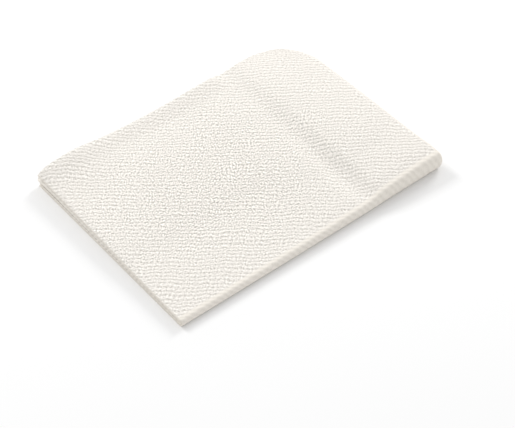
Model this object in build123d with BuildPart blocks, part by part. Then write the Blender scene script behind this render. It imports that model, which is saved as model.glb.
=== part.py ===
from build123d import *
import os

# Paper napkin: one rectangle of embossed tissue, folded twice and lying flat.
# First fold: the sheet is folded in three along its length, with the short end panel tucked
# between the other two. Second fold: the strip is folded in half across its width, so that the
# long near side is one closed spine and the long rear side shows the cut edges.
# The layers fan apart towards the right-hand fold. The upper half has sprung open as well: it
# stands proud at that fold and over the cut end of the tucked panel.
# Frame: X along the folded length, Y across it with the spine at -Y, Z up, the underside at
# Z = 0. The left end (-X) shows the cut edge of the cover panel over the fold of the tucked
# panel.

# Driving sizes, millimetres
folded_length = 120.0
folded_width = 90.0
paper_thickness = 0.3
panel_gap = 0.2  # clear space between two panels where they lie closed, at the left end
half_gap = 0.4  # clear space between the two halves of the second fold, at the left end
tucked_length = 81.0  # the short end panel, from the left fold to its cut end
sprung_height = 7.0  # unit of the rises below

# By this share the layers lie further apart at the right end than at the left end
fan_share = 0.6

# Levels of the three panels at the left end, measured outwards from the middle of the second fold
level_pitch = paper_thickness + panel_gap
base_level = (half_gap + paper_thickness) / 2
tucked_level = base_level + level_pitch
cover_level = tucked_level + level_pitch

# The line that the spine turns about runs along the middle of the second fold. It leans up and
# inwards to the right as the layers fan apart, so the underside and the near edge stay straight.
left_end = -folded_length / 2
near_edge = -folded_width / 2
rear_edge = folded_width / 2
middle_height = cover_level + paper_thickness / 2
lean = cover_level * fan_share
spine_start = near_edge + middle_height
upper_width = rear_edge - spine_start
spine_steps = 10  # equal turns in which the round of the spine is set

# Places along the folded length where the cover panel's height is set. Over the tucked panel,
# as shares of its length: the cover's cut end, left of the middle, right of the middle and the
# ridge over the tucked panel's cut end. Beyond it, as shares of the way from there to the right
# end: the valley beside the ridge and the start of the flat stretch before the right-hand fold.
over_tucked_shares = (0.0, 0.345, 0.690, 0.986)
beyond_tucked_shares = (0.128, 0.320)
cover_places = [
    *(share * tucked_length for share in over_tucked_shares),
    *(tucked_length + share * (folded_length - tucked_length) for share in beyond_tucked_shares),
]

# A section of the upper half gives, in shares: its place across the width; the cover panel's
# rise at the six places above; the rise at the right-hand and at the left-hand fold; and how
# far the right end draws in. A rise is a share of the sprung height, the drawing in a share of
# the folded length.
closed_section_shares = (0.0, (0, 0, 0, 0, 0, 0), 0, 0, 0)
sprung_section_shares = (
    (0.05, (0.00, 0.01, 0.02, 0.08, 0.08, 0.25), 0.42, 0.00, 0.000),
    (0.12, (0.02, 0.01, 0.03, 0.13, 0.11, 0.37), 0.57, 0.01, 0.000),
    (0.22, (0.03, 0.02, 0.05, 0.22, 0.18, 0.46), 0.62, 0.02, 0.000),
    (0.34, (0.08, 0.06, 0.12, 0.33, 0.27, 0.53), 0.66, 0.05, 0.001),
    (0.45, (0.20, 0.19, 0.22, 0.38, 0.32, 0.57), 0.69, 0.10, 0.001),
    (0.60, (0.26, 0.27, 0.26, 0.40, 0.37, 0.58), 0.71, 0.13, 0.001),
    (0.76, (0.29, 0.31, 0.30, 0.45, 0.44, 0.60), 0.69, 0.16, 0.004),
    (0.90, (0.33, 0.35, 0.33, 0.51, 0.49, 0.57), 0.62, 0.20, 0.010),
    (1.00, (0.43, 0.48, 0.45, 0.60, 0.48, 0.47), 0.45, 0.22, 0.028),
)
# Places across the width where the closed lower half is set: past the leaning spine, and the rear
lower_section_shares = (0.05, 1.00)
# Where the cover panel rises, the tucked panel rises with it by this share
tucked_follow_share = 0.9


def spread(along):
    """How far apart the layers lie at a place along the spine, as a multiple of the left end."""
    return 1 + fan_share * along / folded_length


def panel_line(places, level, rises, offset):
    """The edge of one panel: straight where it lies closed, else a curve without overshoot.

    The curve takes the harmonic mean of the two neighbouring slopes at each point, and is level
    at both ends and at each rise or dip. The fanning of the layers adds a steady slope to it.
    """
    points = [(x, level * spread(x) + rise + offset) for x, rise in zip(places, rises)]
    if not any(rises):
        Line(points[0], points[-1])
        return
    steps = [after - before for before, after in zip(places, places[1:])]
    runs = [(after - before) / step for before, after, step in zip(rises, rises[1:], steps)]
    slopes = [
        2 * before * after / (before + after) if before * after > 0 else 0
        for before, after in zip(runs, runs[1:])
    ]
    fan_slope = level * fan_share / folded_length
    Spline(*points, tangents=[(1, fan_slope + slope) for slope in (0, *slopes, 0)])


def panel_side(offset, section):
    """One side of the three panels, from the cover panel's cut end to the tucked panel's.

    A positive offset is the side that is outside both folds. The right-hand fold is pressed
    square where the napkin lies closed and is a half circle where it has sprung open. The
    left-hand fold is a crease.
    """
    cover_shares, right_share, left_share, draw_in_share = section[1:]
    right_base = base_level * spread(folded_length)
    right_rise = right_share * sprung_height
    right_radius = (cover_level * spread(folded_length) + right_rise - right_base) / 2
    left_radius = (tucked_level - base_level + left_share * sprung_height) / 2
    right_tip = folded_length * (1 - draw_in_share) - paper_thickness / 2 + offset
    right_fold = right_tip - right_radius - offset if right_share else right_tip
    left_tip = paper_thickness / 2 - offset
    left_fold = left_tip + left_radius + offset

    rises = [share * sprung_height for share in cover_shares]
    cover_fold_level = right_base + 2 * right_radius
    fold_rise = cover_fold_level - cover_level * spread(right_fold) if right_share else 0
    panel_line([*cover_places, right_fold], cover_level, [*rises, fold_rise], offset)
    cover_end = (right_fold, cover_level * spread(right_fold) + fold_rise + offset)
    base_end = (right_fold, base_level * spread(right_fold) - offset)
    if right_share:
        ThreePointArc(cover_end, (right_tip, right_base + right_radius), base_end)
    else:
        Line(cover_end, base_end)
    base_start = (left_fold, base_level * spread(left_fold) - offset)
    tucked_start_rise = base_level + 2 * left_radius - tucked_level
    tucked_start = (left_fold, tucked_level * spread(left_fold) + tucked_start_rise + offset)
    Polyline(base_end, base_start, (left_tip, base_level + left_radius), tucked_start)
    tucked_rises = [tucked_follow_share * rise for rise in rises[1:4]]
    tucked_places = [left_fold, *cover_places[1:3], tucked_length]
    panel_line(tucked_places, tucked_level, [tucked_start_rise, *tucked_rises], offset)


def line_run(rear_lean):
    """How far the middle line runs to the right: so far that it climbs at one slope everywhere."""
    return (folded_length**2 - rear_lean**2) ** 0.5


def folded_section(section, rear_lean):
    """The cut section of the three folded panels, on a plane through the middle line there.

    Places are measured along that line from the left end, and levels from it. The line leans
    up to the right, and by the given amount to the rear.
    """
    half = paper_thickness / 2
    place = spine_start + section[0] * upper_width
    run = line_run(rear_lean)
    section_plane = Plane(
        origin=(left_end, place, middle_height),
        x_dir=(run, rear_lean, lean),
        z_dir=(rear_lean, -run, 0),
    )
    with BuildSketch(section_plane) as sketch:
        with BuildLine():
            panel_side(half, section)
            panel_side(-half, section)
            top = cover_level + section[1][0] * sprung_height
            Line((0, top - half), (0, top + half))
            tucked = tucked_level * spread(tucked_length)
            tucked += tucked_follow_share * section[1][3] * sprung_height
            Line((tucked_length, tucked - half), (tucked_length, tucked + half))
        make_face()
    return sketch.sketch


def middle_line(place, rear_lean):
    """The line that the closed section at this place turns about."""
    return Axis((left_end, place, middle_height), (line_run(rear_lean), rear_lean, lean))


spine_section = folded_section(closed_section_shares, lean)
sprung_sections = [folded_section(section, 0) for section in sprung_section_shares]
spine_axis = middle_line(spine_start, lean)
half_turn = 180
turned_sections = [
    spine_section.rotate(spine_axis, half_turn * (step + 1) / spine_steps)
    for step in range(spine_steps)
]
lower_sections = [
    folded_section((share, *closed_section_shares[1:]), 0).rotate(
        middle_line(spine_start + share * upper_width, 0), half_turn
    )
    for share in lower_section_shares
]

with BuildPart() as napkin:
    loft([spine_section, *sprung_sections], ruled=True)
    loft([spine_section, *turned_sections], ruled=True)
    loft([turned_sections[-1], *lower_sections], ruled=True)

napkin.part.label = "napkin"
os.makedirs("parts", exist_ok=True)
export_step(napkin.part, "parts/napkin.step")
box = napkin.part.bounding_box()
print("napkin", [round(size, 2) for size in box.size], "volume", round(napkin.part.volume, 1))
print("solids", len(napkin.part.solids()), "valid", napkin.part.is_valid)
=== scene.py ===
import math

import bpy
import numpy as np
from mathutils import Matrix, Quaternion, Vector


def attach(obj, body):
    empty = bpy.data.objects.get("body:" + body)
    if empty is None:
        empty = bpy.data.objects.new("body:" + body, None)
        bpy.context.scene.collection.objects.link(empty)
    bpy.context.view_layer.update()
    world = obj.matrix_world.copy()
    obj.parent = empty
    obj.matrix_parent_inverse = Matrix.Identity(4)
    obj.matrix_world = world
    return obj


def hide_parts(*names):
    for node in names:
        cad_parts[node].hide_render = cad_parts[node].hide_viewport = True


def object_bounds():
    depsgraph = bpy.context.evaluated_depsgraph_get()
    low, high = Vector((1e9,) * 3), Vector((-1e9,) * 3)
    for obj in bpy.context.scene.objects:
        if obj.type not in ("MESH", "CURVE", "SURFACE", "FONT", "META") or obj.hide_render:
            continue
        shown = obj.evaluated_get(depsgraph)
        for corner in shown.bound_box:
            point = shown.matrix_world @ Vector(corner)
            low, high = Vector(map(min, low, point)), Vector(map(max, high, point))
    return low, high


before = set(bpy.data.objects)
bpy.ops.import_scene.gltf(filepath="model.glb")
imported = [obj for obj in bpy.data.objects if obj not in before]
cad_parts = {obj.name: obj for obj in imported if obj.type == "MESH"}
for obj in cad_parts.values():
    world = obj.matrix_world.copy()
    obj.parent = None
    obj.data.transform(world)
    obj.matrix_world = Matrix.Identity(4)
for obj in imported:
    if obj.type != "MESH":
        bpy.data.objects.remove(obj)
cadLow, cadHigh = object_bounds()
mm = 0.001

# The sheet and how it is folded. Values that come from the frame are worked out below.
sheet = {
    "thickness": 0.3 * mm,  # one ply of tissue, with the bulk that the embossing gives it
    "panelGap": 0.2 * mm,  # clear space between panels at the left end
    "halfGap": 0.4 * mm,  # clear space between the two halves of the second fold
    "fanShare": 1.7,  # by this share the layers lie further apart at the right end
    "fanReach": 4 * mm,  # the fan stops this far before the right end
    "spinePress": 0.5,  # power of the fan by which the spine is pressed flat, 0 keeps it round
    "tuckedLength": 81 * mm,  # short end panel, from the left crease to its cut end
    "sprungHeight": 7 * mm,  # unit of the rises in the tables below
    "creaseReach": 0.45 * mm,  # how far the left crease bulges out
    "tuckedFollow": 0.94,  # the tucked panel rises with the cover by this share
    "cornerSlip": 1.0 * mm,  # the cover's rear right corner is drawn in by this much
    "baseSlip": 0.5 * mm,  # at the rear edge the base panel stands out by this much
    "tuckedSlip": 0.3 * mm,  # and the tucked panel by this much at its left end,
    "tuckedSkew": 0.005,  # growing at this slope (in the lower half all slip the other way)
    "cornerRadius": 20 * mm,  # the rear right corner is rounded off
    "edgeDroop": 0.05 * mm,  # the cover's left edge was pressed down by this much in cutting,
    "droopShare": 1 / 3,  # and by this share of how far it rises above the crease
    "droopReach": 1.2 * mm,
    "reliefReach": 0.08,  # the swells set in over this share of the way from the spine
    "creaseTake": 1 * mm,  # length that the folds of the three panels add to the flat sheet
    "spineTake": 1 * mm,  # width that the round of the spine takes off it
}

# How the fan grows from the left end to the right one: shares of the way, and of the fan
fanTable = np.array([
    (0.0, 0.0), (0.44, 0.11), (0.60, 0.22), (0.74, 0.31), (0.81, 0.66), (0.92, 0.90), (1.0, 1.0),
])

# Places where the cover panel's height is set: shares of the tucked panel's length up to the
# ridge over its cut end, then shares of the way from there to the right end.
overTuckedShares = (0.0, 0.345, 0.690, 0.986)
beyondTuckedShares = (0.128, 0.320)

# Each row gives a place across the upper half (0 at the spine, 1 at the rear edge), the cover's
# rise at the six places, the rise at the right fold and at the left crease, all in units of the
# sprung height, and how far the right end is drawn in, as a share of the length. Where that is
# negative the end stands out.
riseTable = np.array([
    (0.00, 0.000, 0.000, 0.000, 0.000, 0.000, 0.000, 0.00, 0.00, -0.012),
    (0.05, 0.008, 0.020, 0.020, 0.070, 0.000, 0.080, 0.08, 0.00, -0.012),
    (0.12, 0.035, 0.055, 0.060, 0.115, 0.010, 0.115, 0.13, 0.01, -0.009),
    (0.22, 0.070, 0.080, 0.105, 0.190, 0.075, 0.210, 0.19, 0.02, -0.007),
    (0.32, 0.100, 0.105, 0.160, 0.290, 0.185, 0.300, 0.26, 0.05, -0.006),
    (0.43, 0.200, 0.215, 0.255, 0.345, 0.280, 0.355, 0.30, 0.10, -0.006),
    (0.60, 0.260, 0.290, 0.290, 0.370, 0.350, 0.390, 0.32, 0.13, -0.006),
    (0.76, 0.300, 0.330, 0.325, 0.410, 0.400, 0.400, 0.32, 0.16, -0.006),
    (0.90, 0.345, 0.345, 0.315, 0.420, 0.415, 0.380, 0.26, 0.22, -0.002),
    (1.00, 0.485, 0.515, 0.475, 0.560, 0.430, 0.340, 0.17, 0.26, 0.006),
])

# Embossing: staggered dots, so many millimetres apart along the length and across it
dots = {
    "along": 2.68 * mm,
    "across": 2.15 * mm,
    "height": 0.11 * mm,  # from the top of a dot to the bottom between dots
    "uneven": 0.35,  # share by which the dots differ in height
    "patch": 2,  # points of the grid, each way, that share one such height
    "seed": 7,
    "rowShare": 0.82,  # share of the relief in the rows that slant from left rear to right near
    "steps": 4,  # faces for each pitch
    "spineStep": 1 / 3,  # length of the faces round the spine, as a share of the others' length
    "flatRim": 0.7 * mm,  # pressed this near to the spine, less and less up to twice as far, and
    # less and less up to this far from the cut left edge
    "foldShadeRim": 2.0 * mm,  # less and less crisp this near to the right fold's tip, where a shade line is painted
    "rimShare": 0.3,  # by this share the dots at the spine outlast the pressing
    "drift": 0.45 * mm,  # the rows wander by this much, over the wavelengths below
    "driftAlong": 34 * mm,
    "driftAcross": 27 * mm,
    "ripple": 0.2 * mm,  # and by this much more over about a quarter of those
    "crispest": (-10 * mm, 2 * mm),  # the dots' painted shade stands out most here, and over these reaches
    "crispReach": (46 * mm, 34 * mm),
    "dullShare": 0.34,  # and by this share elsewhere
}
# Waves in which the rows wander, first along the sheet and then across it: how many fit into the
# wavelengths above, along and across, and the phase
driftWaves = (
    ((1.0, 1.0, 0.4), (-1.7, 1.0, 2.1)),
    ((1.0, 1.3, 4.0), (-0.8, 1.6, 1.0)),
)
rippleWaves = (
    ((3.3, -4.1, 0.9),),
    ((4.3, 2.9, 2.6),),
)

# Faces along each stretch of the path, and across each half and round the spine, where the cover's
# outer face has dots["steps"] times as many
counts = {
    "cover": 45,
    "rightFold": 12,
    "base": 40,
    "crease": 6,
    "tucked": 30,
    "half": 41,
    "spine": 6,
}

# Small relief on the upper half, millimetres: centre, reach along and across, height
swells = (
    (-46, 46, 14, 14, 2.2),
    (-62, 47, 4, 9, -1.6),
    (59, 44, 9, 10, 0.9),
    (43, -25.5, 5, 3, -0.3),
    (50, -35, 4, 5, 0.15),
)
# Pressed lines and one fine ridge: start, end, half width and depth. Each fades out at its ends.
grooves = (
    (33.5, -12.8, 46, -15.2, 0.6, -0.15),
    (44, -15, 58, -13.6, 0.6, -0.12),
    (-40, -15.5, -7, -43.5, 0.7, 0.14),
)
grooveFade = 6  # over this length

left, right = cadLow.x, cadHigh.x
near, rear = cadLow.y, cadHigh.y
length = right - left
half = sheet["thickness"] / 2
levelPitch = sheet["thickness"] + sheet["panelGap"]
baseLevel = (sheet["halfGap"] + sheet["thickness"]) / 2
tuckedLevel = baseLevel + levelPitch
coverLevel = tuckedLevel + levelPitch
tuckedEnd = left + sheet["tuckedLength"]
coverPlaces = np.array(
    [left + share * sheet["tuckedLength"] for share in overTuckedShares]
    + [tuckedEnd + share * (right - tuckedEnd) for share in beyondTuckedShares]
)


def eased(t):
    # From 0 to 1, level at both ends
    return t * t * (3 - 2 * t)


def bell(x, y, centreX, centreY, reachX, reachY):
    # 1 at the centre, and less the further away, counted in reaches
    return np.exp(-(((x - centreX) / reachX) ** 2) - ((y - centreY) / reachY) ** 2)


def curveThrough(places, values, at):
    # Cubic curve through the points of each row. Its slope at a point is the harmonic mean of the
    # slopes on both sides, and nought at a top, a dip or an end, so it never swings past a point.
    widths = np.diff(places, axis=1)
    runs = np.diff(values, axis=1) / widths
    before, after = runs[:, :-1], runs[:, 1:]
    same = before * after > 0
    inner = np.where(same, 2 * before * after / np.where(same, before + after, 1), 0)
    slopes = np.pad(inner, ((0, 0), (1, 1)))
    cell = (at[:, :, None] >= places[:, None, 1:-1]).sum(2)
    pick = lambda table, shift=0: np.take_along_axis(table, cell + shift, 1)
    width = pick(widths)
    t = np.clip((at - pick(places)) / width, 0, 1)
    blend = eased(t)
    bend = width * t * (1 - t) * ((1 - t) * pick(slopes) - t * pick(slopes, 1))
    return pick(values) * (1 - blend) + pick(values, 1) * blend + bend


def spread(x):
    # 1 at the left end, rising along the fan's table to 1 + fanShare near the right end
    share = np.clip((np.atleast_2d(x) - left) / (length - sheet["fanReach"]), 0, 1)
    places, shares = (np.tile(column, (len(share), 1)) for column in fanTable.T)
    return 1 + sheet["fanShare"] * curveThrough(places, shares, share)


def rowsOf(perHalf, roundSpine):
    # Rows from the upper rear edge to the spine, round it and back to the lower rear edge:
    # the share of the way from the spine to the rear edge, and the turn about the spine
    outwards = np.linspace(0, 1, perHalf + 1)
    share = np.concatenate([np.linspace(1, 0, perHalf + 1), np.zeros(roundSpine - 1), outwards])
    turning = np.linspace(0, math.pi, roundSpine + 1)
    turn = np.concatenate([np.zeros(perHalf), turning, np.full(perHalf, math.pi)])
    return share, turn


def reliefAt(x, y):
    # Sum of the swells and of the grooves, which are bells of the distance to a line
    x, y = x / mm, y / mm
    total = np.zeros_like(x)
    for *swell, height in swells:
        total += height * mm * bell(x, y, *swell)
    for startX, startY, endX, endY, width, depth in grooves:
        runX, runY = endX - startX, endY - startY
        size = math.hypot(runX, runY)
        along = ((x - startX) * runX + (y - startY) * runY) / size
        off = ((x - startX) * runY - (y - startY) * runX) / size
        fade = np.clip(along / grooveFade, 0, 1) * np.clip((size - along) / grooveFade, 0, 1)
        total -= depth * mm * fade * np.exp(-((off / width) ** 2))
    return total


def roundedCorner(x, y):
    # Draws the square at the rear right corner in to a quarter circle: each coordinate shrinks by
    # the root of one less half the other's square
    radius = sheet["cornerRadius"]
    across = np.clip((x - right + radius) / radius, 0, 1)
    back = np.clip((y - rear + radius) / radius, 0, 1)
    shrunkX = x - radius * across * (1 - np.sqrt(1 - back**2 / 2))
    shrunkY = y - radius * back * (1 - np.sqrt(1 - across**2 / 2))
    return shrunkX, shrunkY


def foldedSheet(share, turn, stations):
    # The middle of the sheet. A row runs over the cover, round the right fold, back along the base,
    # round the left crease and along the tucked panel, as x and a level above the spine's axis. The
    # turn then swings the level about that axis: up over the upper half, down under the lower one.
    # The slip is how far a layer stands out at the rear edge.
    rowCount = len(share)
    upper = np.where(turn > 0, 0, share)
    columns = riseTable[:, 1:].T
    table = curveThrough(np.tile(riseTable[:, 0], (len(columns), 1)), columns, upper[None, :]).T
    rises = table * sheet["sprungHeight"]
    rightRise, creaseRise = rises[:, 6:7], rises[:, 7:8]
    rightTip = right - table[:, 8:9] * length - half
    foldTop = coverLevel * spread(right) + rightRise
    foldBase = baseLevel * spread(right)
    foldRadius = (foldTop - foldBase) / 2
    foldStart = rightTip - foldRadius
    creaseStart = left + half + sheet["creaseReach"]
    creaseRadius = (tuckedLevel + creaseRise - baseLevel) / 2

    xParts, levelParts, slipParts = [], [], []
    for name, s in stations:
        s = s[None, :]
        if name == "cover":
            x = left + s * (foldStart - left)
            places = np.hstack([np.tile(coverPlaces, (rowCount, 1)), foldStart])
            level = coverLevel * spread(x) + curveThrough(places, rises[:, :7], x)
            droop = sheet["edgeDroop"] + (rises[:, 0:1] - creaseRise) * sheet["droopShare"]
            level -= droop * np.exp(-(((x - left) / sheet["droopReach"]) ** 2))
            slip = -sheet["cornerSlip"] * np.clip((2 * x - right) / right, 0, 1) ** 2
        elif name == "rightFold":
            x = foldStart + foldRadius * np.sin(math.pi * s)
            level = foldBase + foldRadius * (1 + np.cos(math.pi * s))
            slip = -sheet["cornerSlip"] * (1 - s) + sheet["baseSlip"] * s
        elif name == "base":
            x = foldStart + s * (creaseStart - foldStart)
            level = baseLevel * spread(x)
            slip = sheet["baseSlip"]
        elif name == "crease":
            x = creaseStart - sheet["creaseReach"] * np.sin(math.pi * s)
            level = baseLevel + creaseRadius * (1 - np.cos(math.pi * s))
            slip = sheet["baseSlip"] + s * (sheet["tuckedSlip"] - sheet["baseSlip"])
        else:
            x = creaseStart + s * (tuckedEnd - creaseStart)
            places = np.tile([creaseStart, *coverPlaces[1:3], tuckedEnd], (rowCount, 1))
            tuckedRises = np.hstack([creaseRise, sheet["tuckedFollow"] * rises[:, 1:4]])
            level = tuckedLevel * spread(x) + curveThrough(places, tuckedRises, x)
            slip = sheet["tuckedSlip"] + sheet["tuckedSkew"] * (x - creaseStart)
        for parts, values in ((xParts, x), (levelParts, level), (slipParts, slip)):
            parts.append(np.broadcast_to(values, (rowCount, s.shape[1])))
    x, level, slip = np.hstack(xParts), np.hstack(levelParts), np.hstack(slipParts)

    # where the layers lie far apart the spine is pressed flatter than a half circle
    squeeze = spread(x) ** -sheet["spinePress"]
    spineY = near + squeeze * coverLevel * spread(x) + half
    y = spineY + share[:, None] * (rear - spineY + slip * np.cos(turn)[:, None])
    x, y = roundedCorner(x, y)
    level = level + reliefAt(x, y) * eased(np.clip(upper[:, None] / sheet["reliefReach"], 0, 1))
    axis = coverLevel * spread(x) + half
    depth = squeeze * level * np.sin(turn)[:, None]
    return np.stack([x, y - depth, axis + level * np.cos(turn)[:, None]], 2)


def wandering(u, v, waves):
    # Mean of the waves over the flat sheet
    heights = [
        np.sin(2 * math.pi * (along * u / dots["driftAlong"] + across * v / dots["driftAcross"]) + phase)
        for along, across, phase in waves
    ]
    return sum(heights) / len(waves)


def crispAt(points, kept):
    # How crisp the dots are, which sets how strong their painted shade is: more about the crispest place,
    # and less where they were pressed
    closeness = bell(points[..., 0], points[..., 1], *dots["crispest"], *dots["crispReach"])
    return kept * (dots["dullShare"] + (1 - dots["dullShare"]) * closeness)


def normalsOf(points):
    # Cross product of the steps along the path and across the rows, one unit long
    across, along = np.gradient(points, axis=(0, 1))
    normal = np.cross(along, -across)
    return normal / np.linalg.norm(normal, axis=2, keepdims=True)


def numbered(first, rows, columns):
    # Vertex numbers of a grid, row by row
    return first + np.arange(rows * columns).reshape(rows, columns)


def gridFaces(index):
    # Quads of a grid of vertex numbers
    corners = [index[:-1, :-1], index[1:, :-1], index[1:, 1:], index[:-1, 1:]]
    return np.stack(corners, 2).reshape(-1, 4)


def stitch(fine, coarse, flip):
    # Triangles between a fine edge and a coarse one with a vertex for every few of its own
    each = (len(fine) - 1) // (len(coarse) - 1)
    step = np.arange(len(fine) - 1)
    owner = (step + each // 2) // each
    fans = np.stack([coarse[owner], fine[:-1], fine[1:]], 1)
    middle = np.arange(len(coarse) - 1)
    wedges = np.stack([coarse[:-1], fine[middle * each + each // 2], coarse[1:]], 1)
    faces = np.vstack([fans, wedges])
    return faces[:, ::-1] if flip else faces


def ladder(one, other, flip):
    # Quads between two edges with as many vertices
    faces = np.stack([one[:-1], one[1:], other[1:], other[:-1]], 1)
    return faces[:, ::-1] if flip else faces


def meshObject(name, points, faceLists, smooth=True):
    mesh = bpy.data.meshes.new(name)
    mesh.from_pydata(points.tolist(), [], [face for faces in faceLists for face in faces.tolist()])
    if smooth:
        mesh.polygons.foreach_set("use_smooth", np.ones(len(mesh.polygons), bool))
    mesh.update()
    made = bpy.data.objects.new(name, mesh)
    bpy.context.scene.collection.objects.link(made)
    return made


print("folding the sheet")
steps = dots["steps"]
fineShare, fineTurn = rowsOf(counts["half"] * steps, counts["spine"] * steps)
coarseShare, coarseTurn = fineShare[::steps], fineTurn[::steps]
fineColumns = np.linspace(0, 1, counts["cover"] * steps + 1)
afterCover = [
    (name, np.linspace(0, 1, counts[name] + 1)[1:])
    for name in ("rightFold", "base", "crease", "tucked")
]
coverMiddle = foldedSheet(fineShare, fineTurn, [("cover", fineColumns)])
coverNormal = normalsOf(coverMiddle)
sheetMiddle = foldedSheet(coarseShare, coarseTurn, [("cover", fineColumns[::steps]), *afterCover])
sheetNormal = normalsOf(sheetMiddle)

# Place of each point on the sheet before it was folded, which the embossing follows
rowStep = np.where((fineTurn > 0) & (fineTurn < math.pi), dots["spineStep"], 1.0)
flatRow = np.concatenate([[0], np.cumsum((rowStep[1:] + rowStep[:-1]) / 2)]) * dots["across"] / steps
flatColumn = np.arange(len(fineColumns)) * dots["along"] / steps
evenU, evenV = np.meshgrid(flatColumn, flatRow)
dotU, dotV = evenU, evenV
for reach, (wavesU, wavesV) in ((dots["drift"], driftWaves), (dots["ripple"], rippleWaves)):
    dotU = dotU + reach * wandering(evenU, evenV, wavesU)
    dotV = dotV + reach * wandering(evenU, evenV, wavesV)

# The cover's outer face carries the dots as real relief: two sets of slanting rows, each a cosine
print("embossing the cover")
alongTurns, acrossTurns = 2 * math.pi * dotU / dots["along"], 2 * math.pi * dotV / dots["across"]
relief = dots["rowShare"] * np.cos(alongTurns - acrossTurns)
relief += (1 - dots["rowShare"]) * np.cos(alongTurns + acrossTurns)
# the share of the dots that is left where the rims were pressed
fromSpine = fineShare[:, None] * (rear - near)
kept = np.clip((fromSpine - dots["flatRim"]) / dots["flatRim"], 0, 1)
kept = dots["rimShare"] + (1 - dots["rimShare"]) * kept
kept = kept * np.clip((coverMiddle[:, :, 0] - left) / dots["flatRim"], 0, 1)
draws = np.random.default_rng(dots["seed"])
patch = dots["patch"]
patchCounts = len(fineShare) // patch + 1, len(fineColumns) // patch + 1
patches = draws.uniform(1 - dots["uneven"], 1 + dots["uneven"], patchCounts)
uneven = patches.repeat(patch, 0).repeat(patch, 1)[: len(fineShare), : len(fineColumns)]
lift = half + dots["height"] * relief * uneven * kept / 2
coverOuter = coverMiddle + coverNormal * lift[:, :, None]
sheetOuter = sheetMiddle + sheetNormal * half
sheetInner = sheetMiddle - sheetNormal * half

# One closed mesh: the fine outer face of the cover, and the coarse grid elsewhere
coverCount = counts["cover"] + 1
fineIndex = numbered(0, *coverOuter.shape[:2])
outerIndex = numbered(fineIndex.size, len(sheetOuter), sheetOuter.shape[1] - coverCount)
innerIndex = numbered(fineIndex.size + outerIndex.size, *sheetInner.shape[:2])
points = np.vstack([
    coverOuter.reshape(-1, 3),
    sheetOuter[:, coverCount:].reshape(-1, 3),
    sheetInner.reshape(-1, 3),
])
faceLists = [
    gridFaces(fineIndex),
    gridFaces(outerIndex),
    gridFaces(innerIndex)[:, ::-1],
    stitch(fineIndex[:, -1], outerIndex[:, 0], False),
    stitch(fineIndex[:, 0], innerIndex[:, 0], True),
    stitch(fineIndex[0], innerIndex[0, :coverCount], False),
    stitch(fineIndex[-1], innerIndex[-1, :coverCount], True),
    ladder(outerIndex[0], innerIndex[0, coverCount:], False),
    ladder(outerIndex[-1], innerIndex[-1, coverCount:], True),
    ladder(outerIndex[:, -1], innerIndex[:, -1], False),
]
# where the fine grid meets the coarse one at the two rear rims
rimUpper, rimLower = (
    [fine[-1], outer[0], inner[coverCount], inner[coverCount - 1]]
    for fine, outer, inner in zip(fineIndex[[0, -1]], outerIndex[[0, -1]], innerIndex[[0, -1]])
)
faceLists += [np.array([rimUpper]), np.array([rimLower[::-1]])]

napkin = meshObject("foldedTissue", points, faceLists)

# Embossing coordinates for the material
outerRun = np.linalg.norm(np.diff(sheetOuter[:, coverCount - 1:], axis=1), axis=2)
outerFlat = flatColumn[-1] + np.cumsum(outerRun, axis=1)
coarseRow = flatRow[::steps][:, None]
coverFlat = np.broadcast_to(flatColumn[::steps], (len(coarseRow), coverCount))
innerFlat = np.hstack([coverFlat, outerFlat])
flatPlace = np.vstack([
    np.stack([dotU, dotV, 0 * dotU], 2).reshape(-1, 3),
    *(
        np.stack([flat, coarseRow + 0 * flat, 0 * flat], 2).reshape(-1, 3)
        for flat in (outerFlat, innerFlat)
    ),
])
place = napkin.data.attributes.new("flatPlace", "FLOAT_VECTOR", "POINT")
place.data.foreach_set("vector", flatPlace.astype(np.float32).ravel())

# How crisp the paper's painted specks are. On the rest of the sheet they fade out at the right fold's
# tip, where the pressed colour paints a shade line along the edge.
sheetX = sheetMiddle[:, :, 0]
fromFold = sheetX.max(1, keepdims=True) - sheetX
sheetKept = kept[::steps, -1:] * np.clip((sheetX - left) / dots["flatRim"], 0, 1)
sheetKept = sheetKept * np.clip(fromFold / dots["foldShadeRim"], 0, 1)
sheetCrispness = crispAt(sheetMiddle, sheetKept)
crispness = np.concatenate([
    crispAt(coverMiddle, kept).ravel(),
    sheetCrispness[:, coverCount:].ravel(),
    sheetCrispness.ravel(),
])
crisp = napkin.data.attributes.new("crispness", "FLOAT", "POINT")
crisp.data.foreach_set("value", crispness.astype(np.float32))
print("triangles", sum(len(polygon.vertices) - 2 for polygon in napkin.data.polygons))

# Tissue paper
paper = {
    "colour": "FEFAF4",
    # painted shade: the pits between the dots are darkened to this colour, for the shade that falls in
    # them
    "pitShadeColour": "9A948B",
    "pitRange": (3.4, -5.6),  # heights, in half heights of the relief, between which the pits' shade is painted in
    # paper pressed flat at the spine and the cut left edge, without the dots' painted pit shade, and
    # lighter than the dotted paper's mean as painted light on the spine band, which lies in shade; at the
    # right fold's tip it is a painted shade line along the edge
    "pressedAndPaintedShadeColour": "EAE4DA",
    "grain": 0.48 * mm,  # size of the crepe's specks, painted as shade, which break the rows up
    "grainHeight": 30.0,  # how far they raise or lower the relief for its painted shade
    "roughness": 0.95,
    "specular": 0.15,
    "fibre": 0.35 * mm,  # real fibres are finer, drawn as coarse as the render can show
    "bump": 0.06 * mm,
    "bumpRelief": 0.5,  # share of the rows of dots in the bump, beside the fibres
}


def linear(hexColour):
    # sRGB hex to linear
    values = [int(hexColour[at:at + 2], 16) / 255 for at in (0, 2, 4)]
    return [v / 12.92 if v <= 0.04045 else ((v + 0.055) / 1.055) ** 2.4 for v in values] + [1.0]


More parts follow.
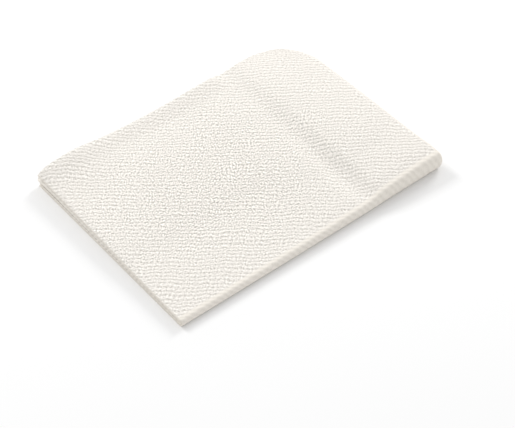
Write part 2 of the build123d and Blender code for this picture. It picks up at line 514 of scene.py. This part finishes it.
def node(tree, kind, inputs, **properties):
    # Adds a node. An input is linked where it is given another node's output, else set.
    made = tree.nodes.new(kind)
    for name, value in properties.items():
        setattr(made, name, value)
    for name, value in inputs.items():
        if isinstance(value, bpy.types.NodeSocket):
            tree.links.new(value, made.inputs[name])
        else:
            made.inputs[name].default_value = value
    return made.outputs


def maths(tree, operation, *values):
    return node(tree, "ShaderNodeMath", dict(enumerate(values)), operation=operation)[0]


def tissueMaterial():
    material = bpy.data.materials.new("embossedTissuePaper")
    material.use_nodes = True
    tree = material.node_tree
    tree.nodes.clear()
    flat = node(tree, "ShaderNodeAttribute", {}, attribute_name="flatPlace")["Vector"]
    parts = node(tree, "ShaderNodeSeparateXYZ", {"Vector": flat})
    turns = [
        maths(tree, "MULTIPLY", parts[axis], 2 * math.pi / pitch)
        for axis, pitch in (("X", dots["along"]), ("Y", dots["across"]))
    ]
    # the same two sets of rows as in the relief, for the painted pit shade and for the bump
    relief = 0.0
    for way, share in (("SUBTRACT", dots["rowShare"]), ("ADD", 1 - dots["rowShare"])):
        row = maths(tree, "COSINE", maths(tree, way, *turns))
        relief = maths(tree, "MULTIPLY_ADD", row, share, relief)

    # painted shade: the crepe's specks darken and lighten the paper where it is crisp, over the pits'
    # painted shade
    grain = node(
        tree, "ShaderNodeTexNoise", {"Vector": flat, "Scale": 1 / paper["grain"], "Detail": 1.0}
    )["Fac"]
    centred = maths(tree, "SUBTRACT", grain, 0.5)
    crisp = node(tree, "ShaderNodeAttribute", {}, attribute_name="crispness")["Fac"]
    strength = maths(tree, "MULTIPLY", crisp, paper["grainHeight"])
    crepe = maths(tree, "MULTIPLY_ADD", centred, strength, relief)
    # painted shade, from none at the tops of the dots to the full pit shade in the pits
    high, low = paper["pitRange"]
    pitShade = node(
        tree, "ShaderNodeMapRange", {"Value": crepe, "From Min": high, "From Max": low},
        interpolation_type="SMOOTHSTEP",
    )[0]
    embossed = node(tree, "ShaderNodeMapRange", {"Value": crisp, "From Max": dots["dullShare"]})[0]
    pitShaded = node(
        tree, "ShaderNodeMix", {"Factor": pitShade, 6: linear(paper["colour"]), 7: linear(paper["pitShadeColour"])},
        data_type="RGBA",
    )[2]
    # pressed paper takes the pressed colour; at the right fold's tip that is a painted shade line
    colour = node(
        tree, "ShaderNodeMix", {"Factor": embossed, 6: linear(paper["pressedAndPaintedShadeColour"]), 7: pitShaded},
        data_type="RGBA",
    )[2]

    fibre = node(
        tree, "ShaderNodeTexNoise",
        {"Vector": flat, "Scale": 1 / paper["fibre"], "Detail": 3.0, "Roughness": 0.6},
    )["Fac"]
    height = maths(tree, "MULTIPLY_ADD", relief, paper["bumpRelief"], fibre)
    bump = node(tree, "ShaderNodeBump", {"Height": height, "Distance": paper["bump"], "Strength": 1.0})[0]
    shader = node(
        tree, "ShaderNodeBsdfPrincipled",
        {
            "Base Color": colour, "Normal": bump, "Roughness": paper["roughness"],
            "IOR": 1.5, "Specular IOR Level": paper["specular"],
        },
    )[0]
    node(tree, "ShaderNodeOutputMaterial", {"Surface": shader})
    return material


napkin.data.materials.append(tissueMaterial())
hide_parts("napkin")
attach(napkin, "root")
print("napkin made")

# Floor, light and camera
studio = {
    "floorColour": "F0F0F0",
    "floorSize": 6.0,
    "sky": 0.79,
}
# Large soft lamps, one behind the napkin and one to its right: azimuth and elevation in degrees,
# distance and width in metres, and how bright each alone makes a white floor
lamps = {
    "rearPanel": (10, 38, 1.1, 0.33, 0.245),
    "sidePanel": (-72, 30, 0.9, 0.3, 0.18),
}
view = {
    "azimuth": -36.9,  # degrees, 0 looks along +Y and 90 along -X
    "elevation": 45.65,
    "roll": -2.2,
    "focalPixels": 1484.5,
    "imageWidth": 515,
    "place": (-234.05 * mm, -321.9 * mm, 387.5 * mm),
}


def wayTo(azimuth, elevation):
    # The way from the napkin to a lamp or the camera. Azimuth 0 is along +Y and 90 along -X.
    turn, rise = math.radians(azimuth), math.radians(elevation)
    return Vector((-math.sin(turn) * math.cos(rise), math.cos(turn) * math.cos(rise), math.sin(rise)))


print("floor, lamps and camera")
floorHalf = studio["floorSize"] / 2
floorCorners = [(x * floorHalf, y * floorHalf, 0) for x, y in ((-1, -1), (1, -1), (1, 1), (-1, 1))]
floor = meshObject("floor", np.array(floorCorners), [np.array([(0, 1, 2, 3)])], smooth=False)
floorMaterial = bpy.data.materials.new("matteWhiteBoard")
floorMaterial.use_nodes = True
floorShader = floorMaterial.node_tree.nodes["Principled BSDF"]
floorShader.inputs["Base Color"].default_value = linear(studio["floorColour"])
floorShader.inputs["Roughness"].default_value = 1.0
floorShader.inputs["Specular IOR Level"].default_value = 0.0
floor.data.materials.append(floorMaterial)

world = bpy.data.worlds.new("studio")
world.use_nodes = True
world.node_tree.nodes["Background"].inputs["Color"].default_value = (1, 1, 1, 1)
world.node_tree.nodes["Background"].inputs["Strength"].default_value = studio["sky"]
bpy.context.scene.world = world

for name, (azimuth, elevation, distance, width, floorLight) in lamps.items():
    way = wayTo(azimuth, elevation)
    lampData = bpy.data.lights.new(name, "AREA")
    # the light on a floor from a small flat lamp that faces it, solved for the lamp's power
    lampData.energy = floorLight * (math.pi * distance) ** 2 / math.sin(math.radians(elevation))
    lampData.size = width
    lamp = bpy.data.objects.new(name, lampData)
    lamp.location = way * distance
    lamp.rotation_euler = way.to_track_quat("Z", "Y").to_euler()
    bpy.context.scene.collection.objects.link(lamp)

cameraData = bpy.data.cameras.new("photoView")
cameraData.sensor_width = 36
cameraData.lens = view["focalPixels"] * cameraData.sensor_width / view["imageWidth"]
camera = bpy.data.objects.new("photoView", cameraData)
back = wayTo(view["azimuth"] + 180, view["elevation"])
camera.location = view["place"]
level = back.to_track_quat("Z", "Y")
camera.rotation_euler = (Quaternion(back, math.radians(view["roll"])) @ level).to_euler()
bpy.context.scene.collection.objects.link(camera)
bpy.context.scene.camera = camera
bpy.context.scene.view_settings.view_transform = "Standard"
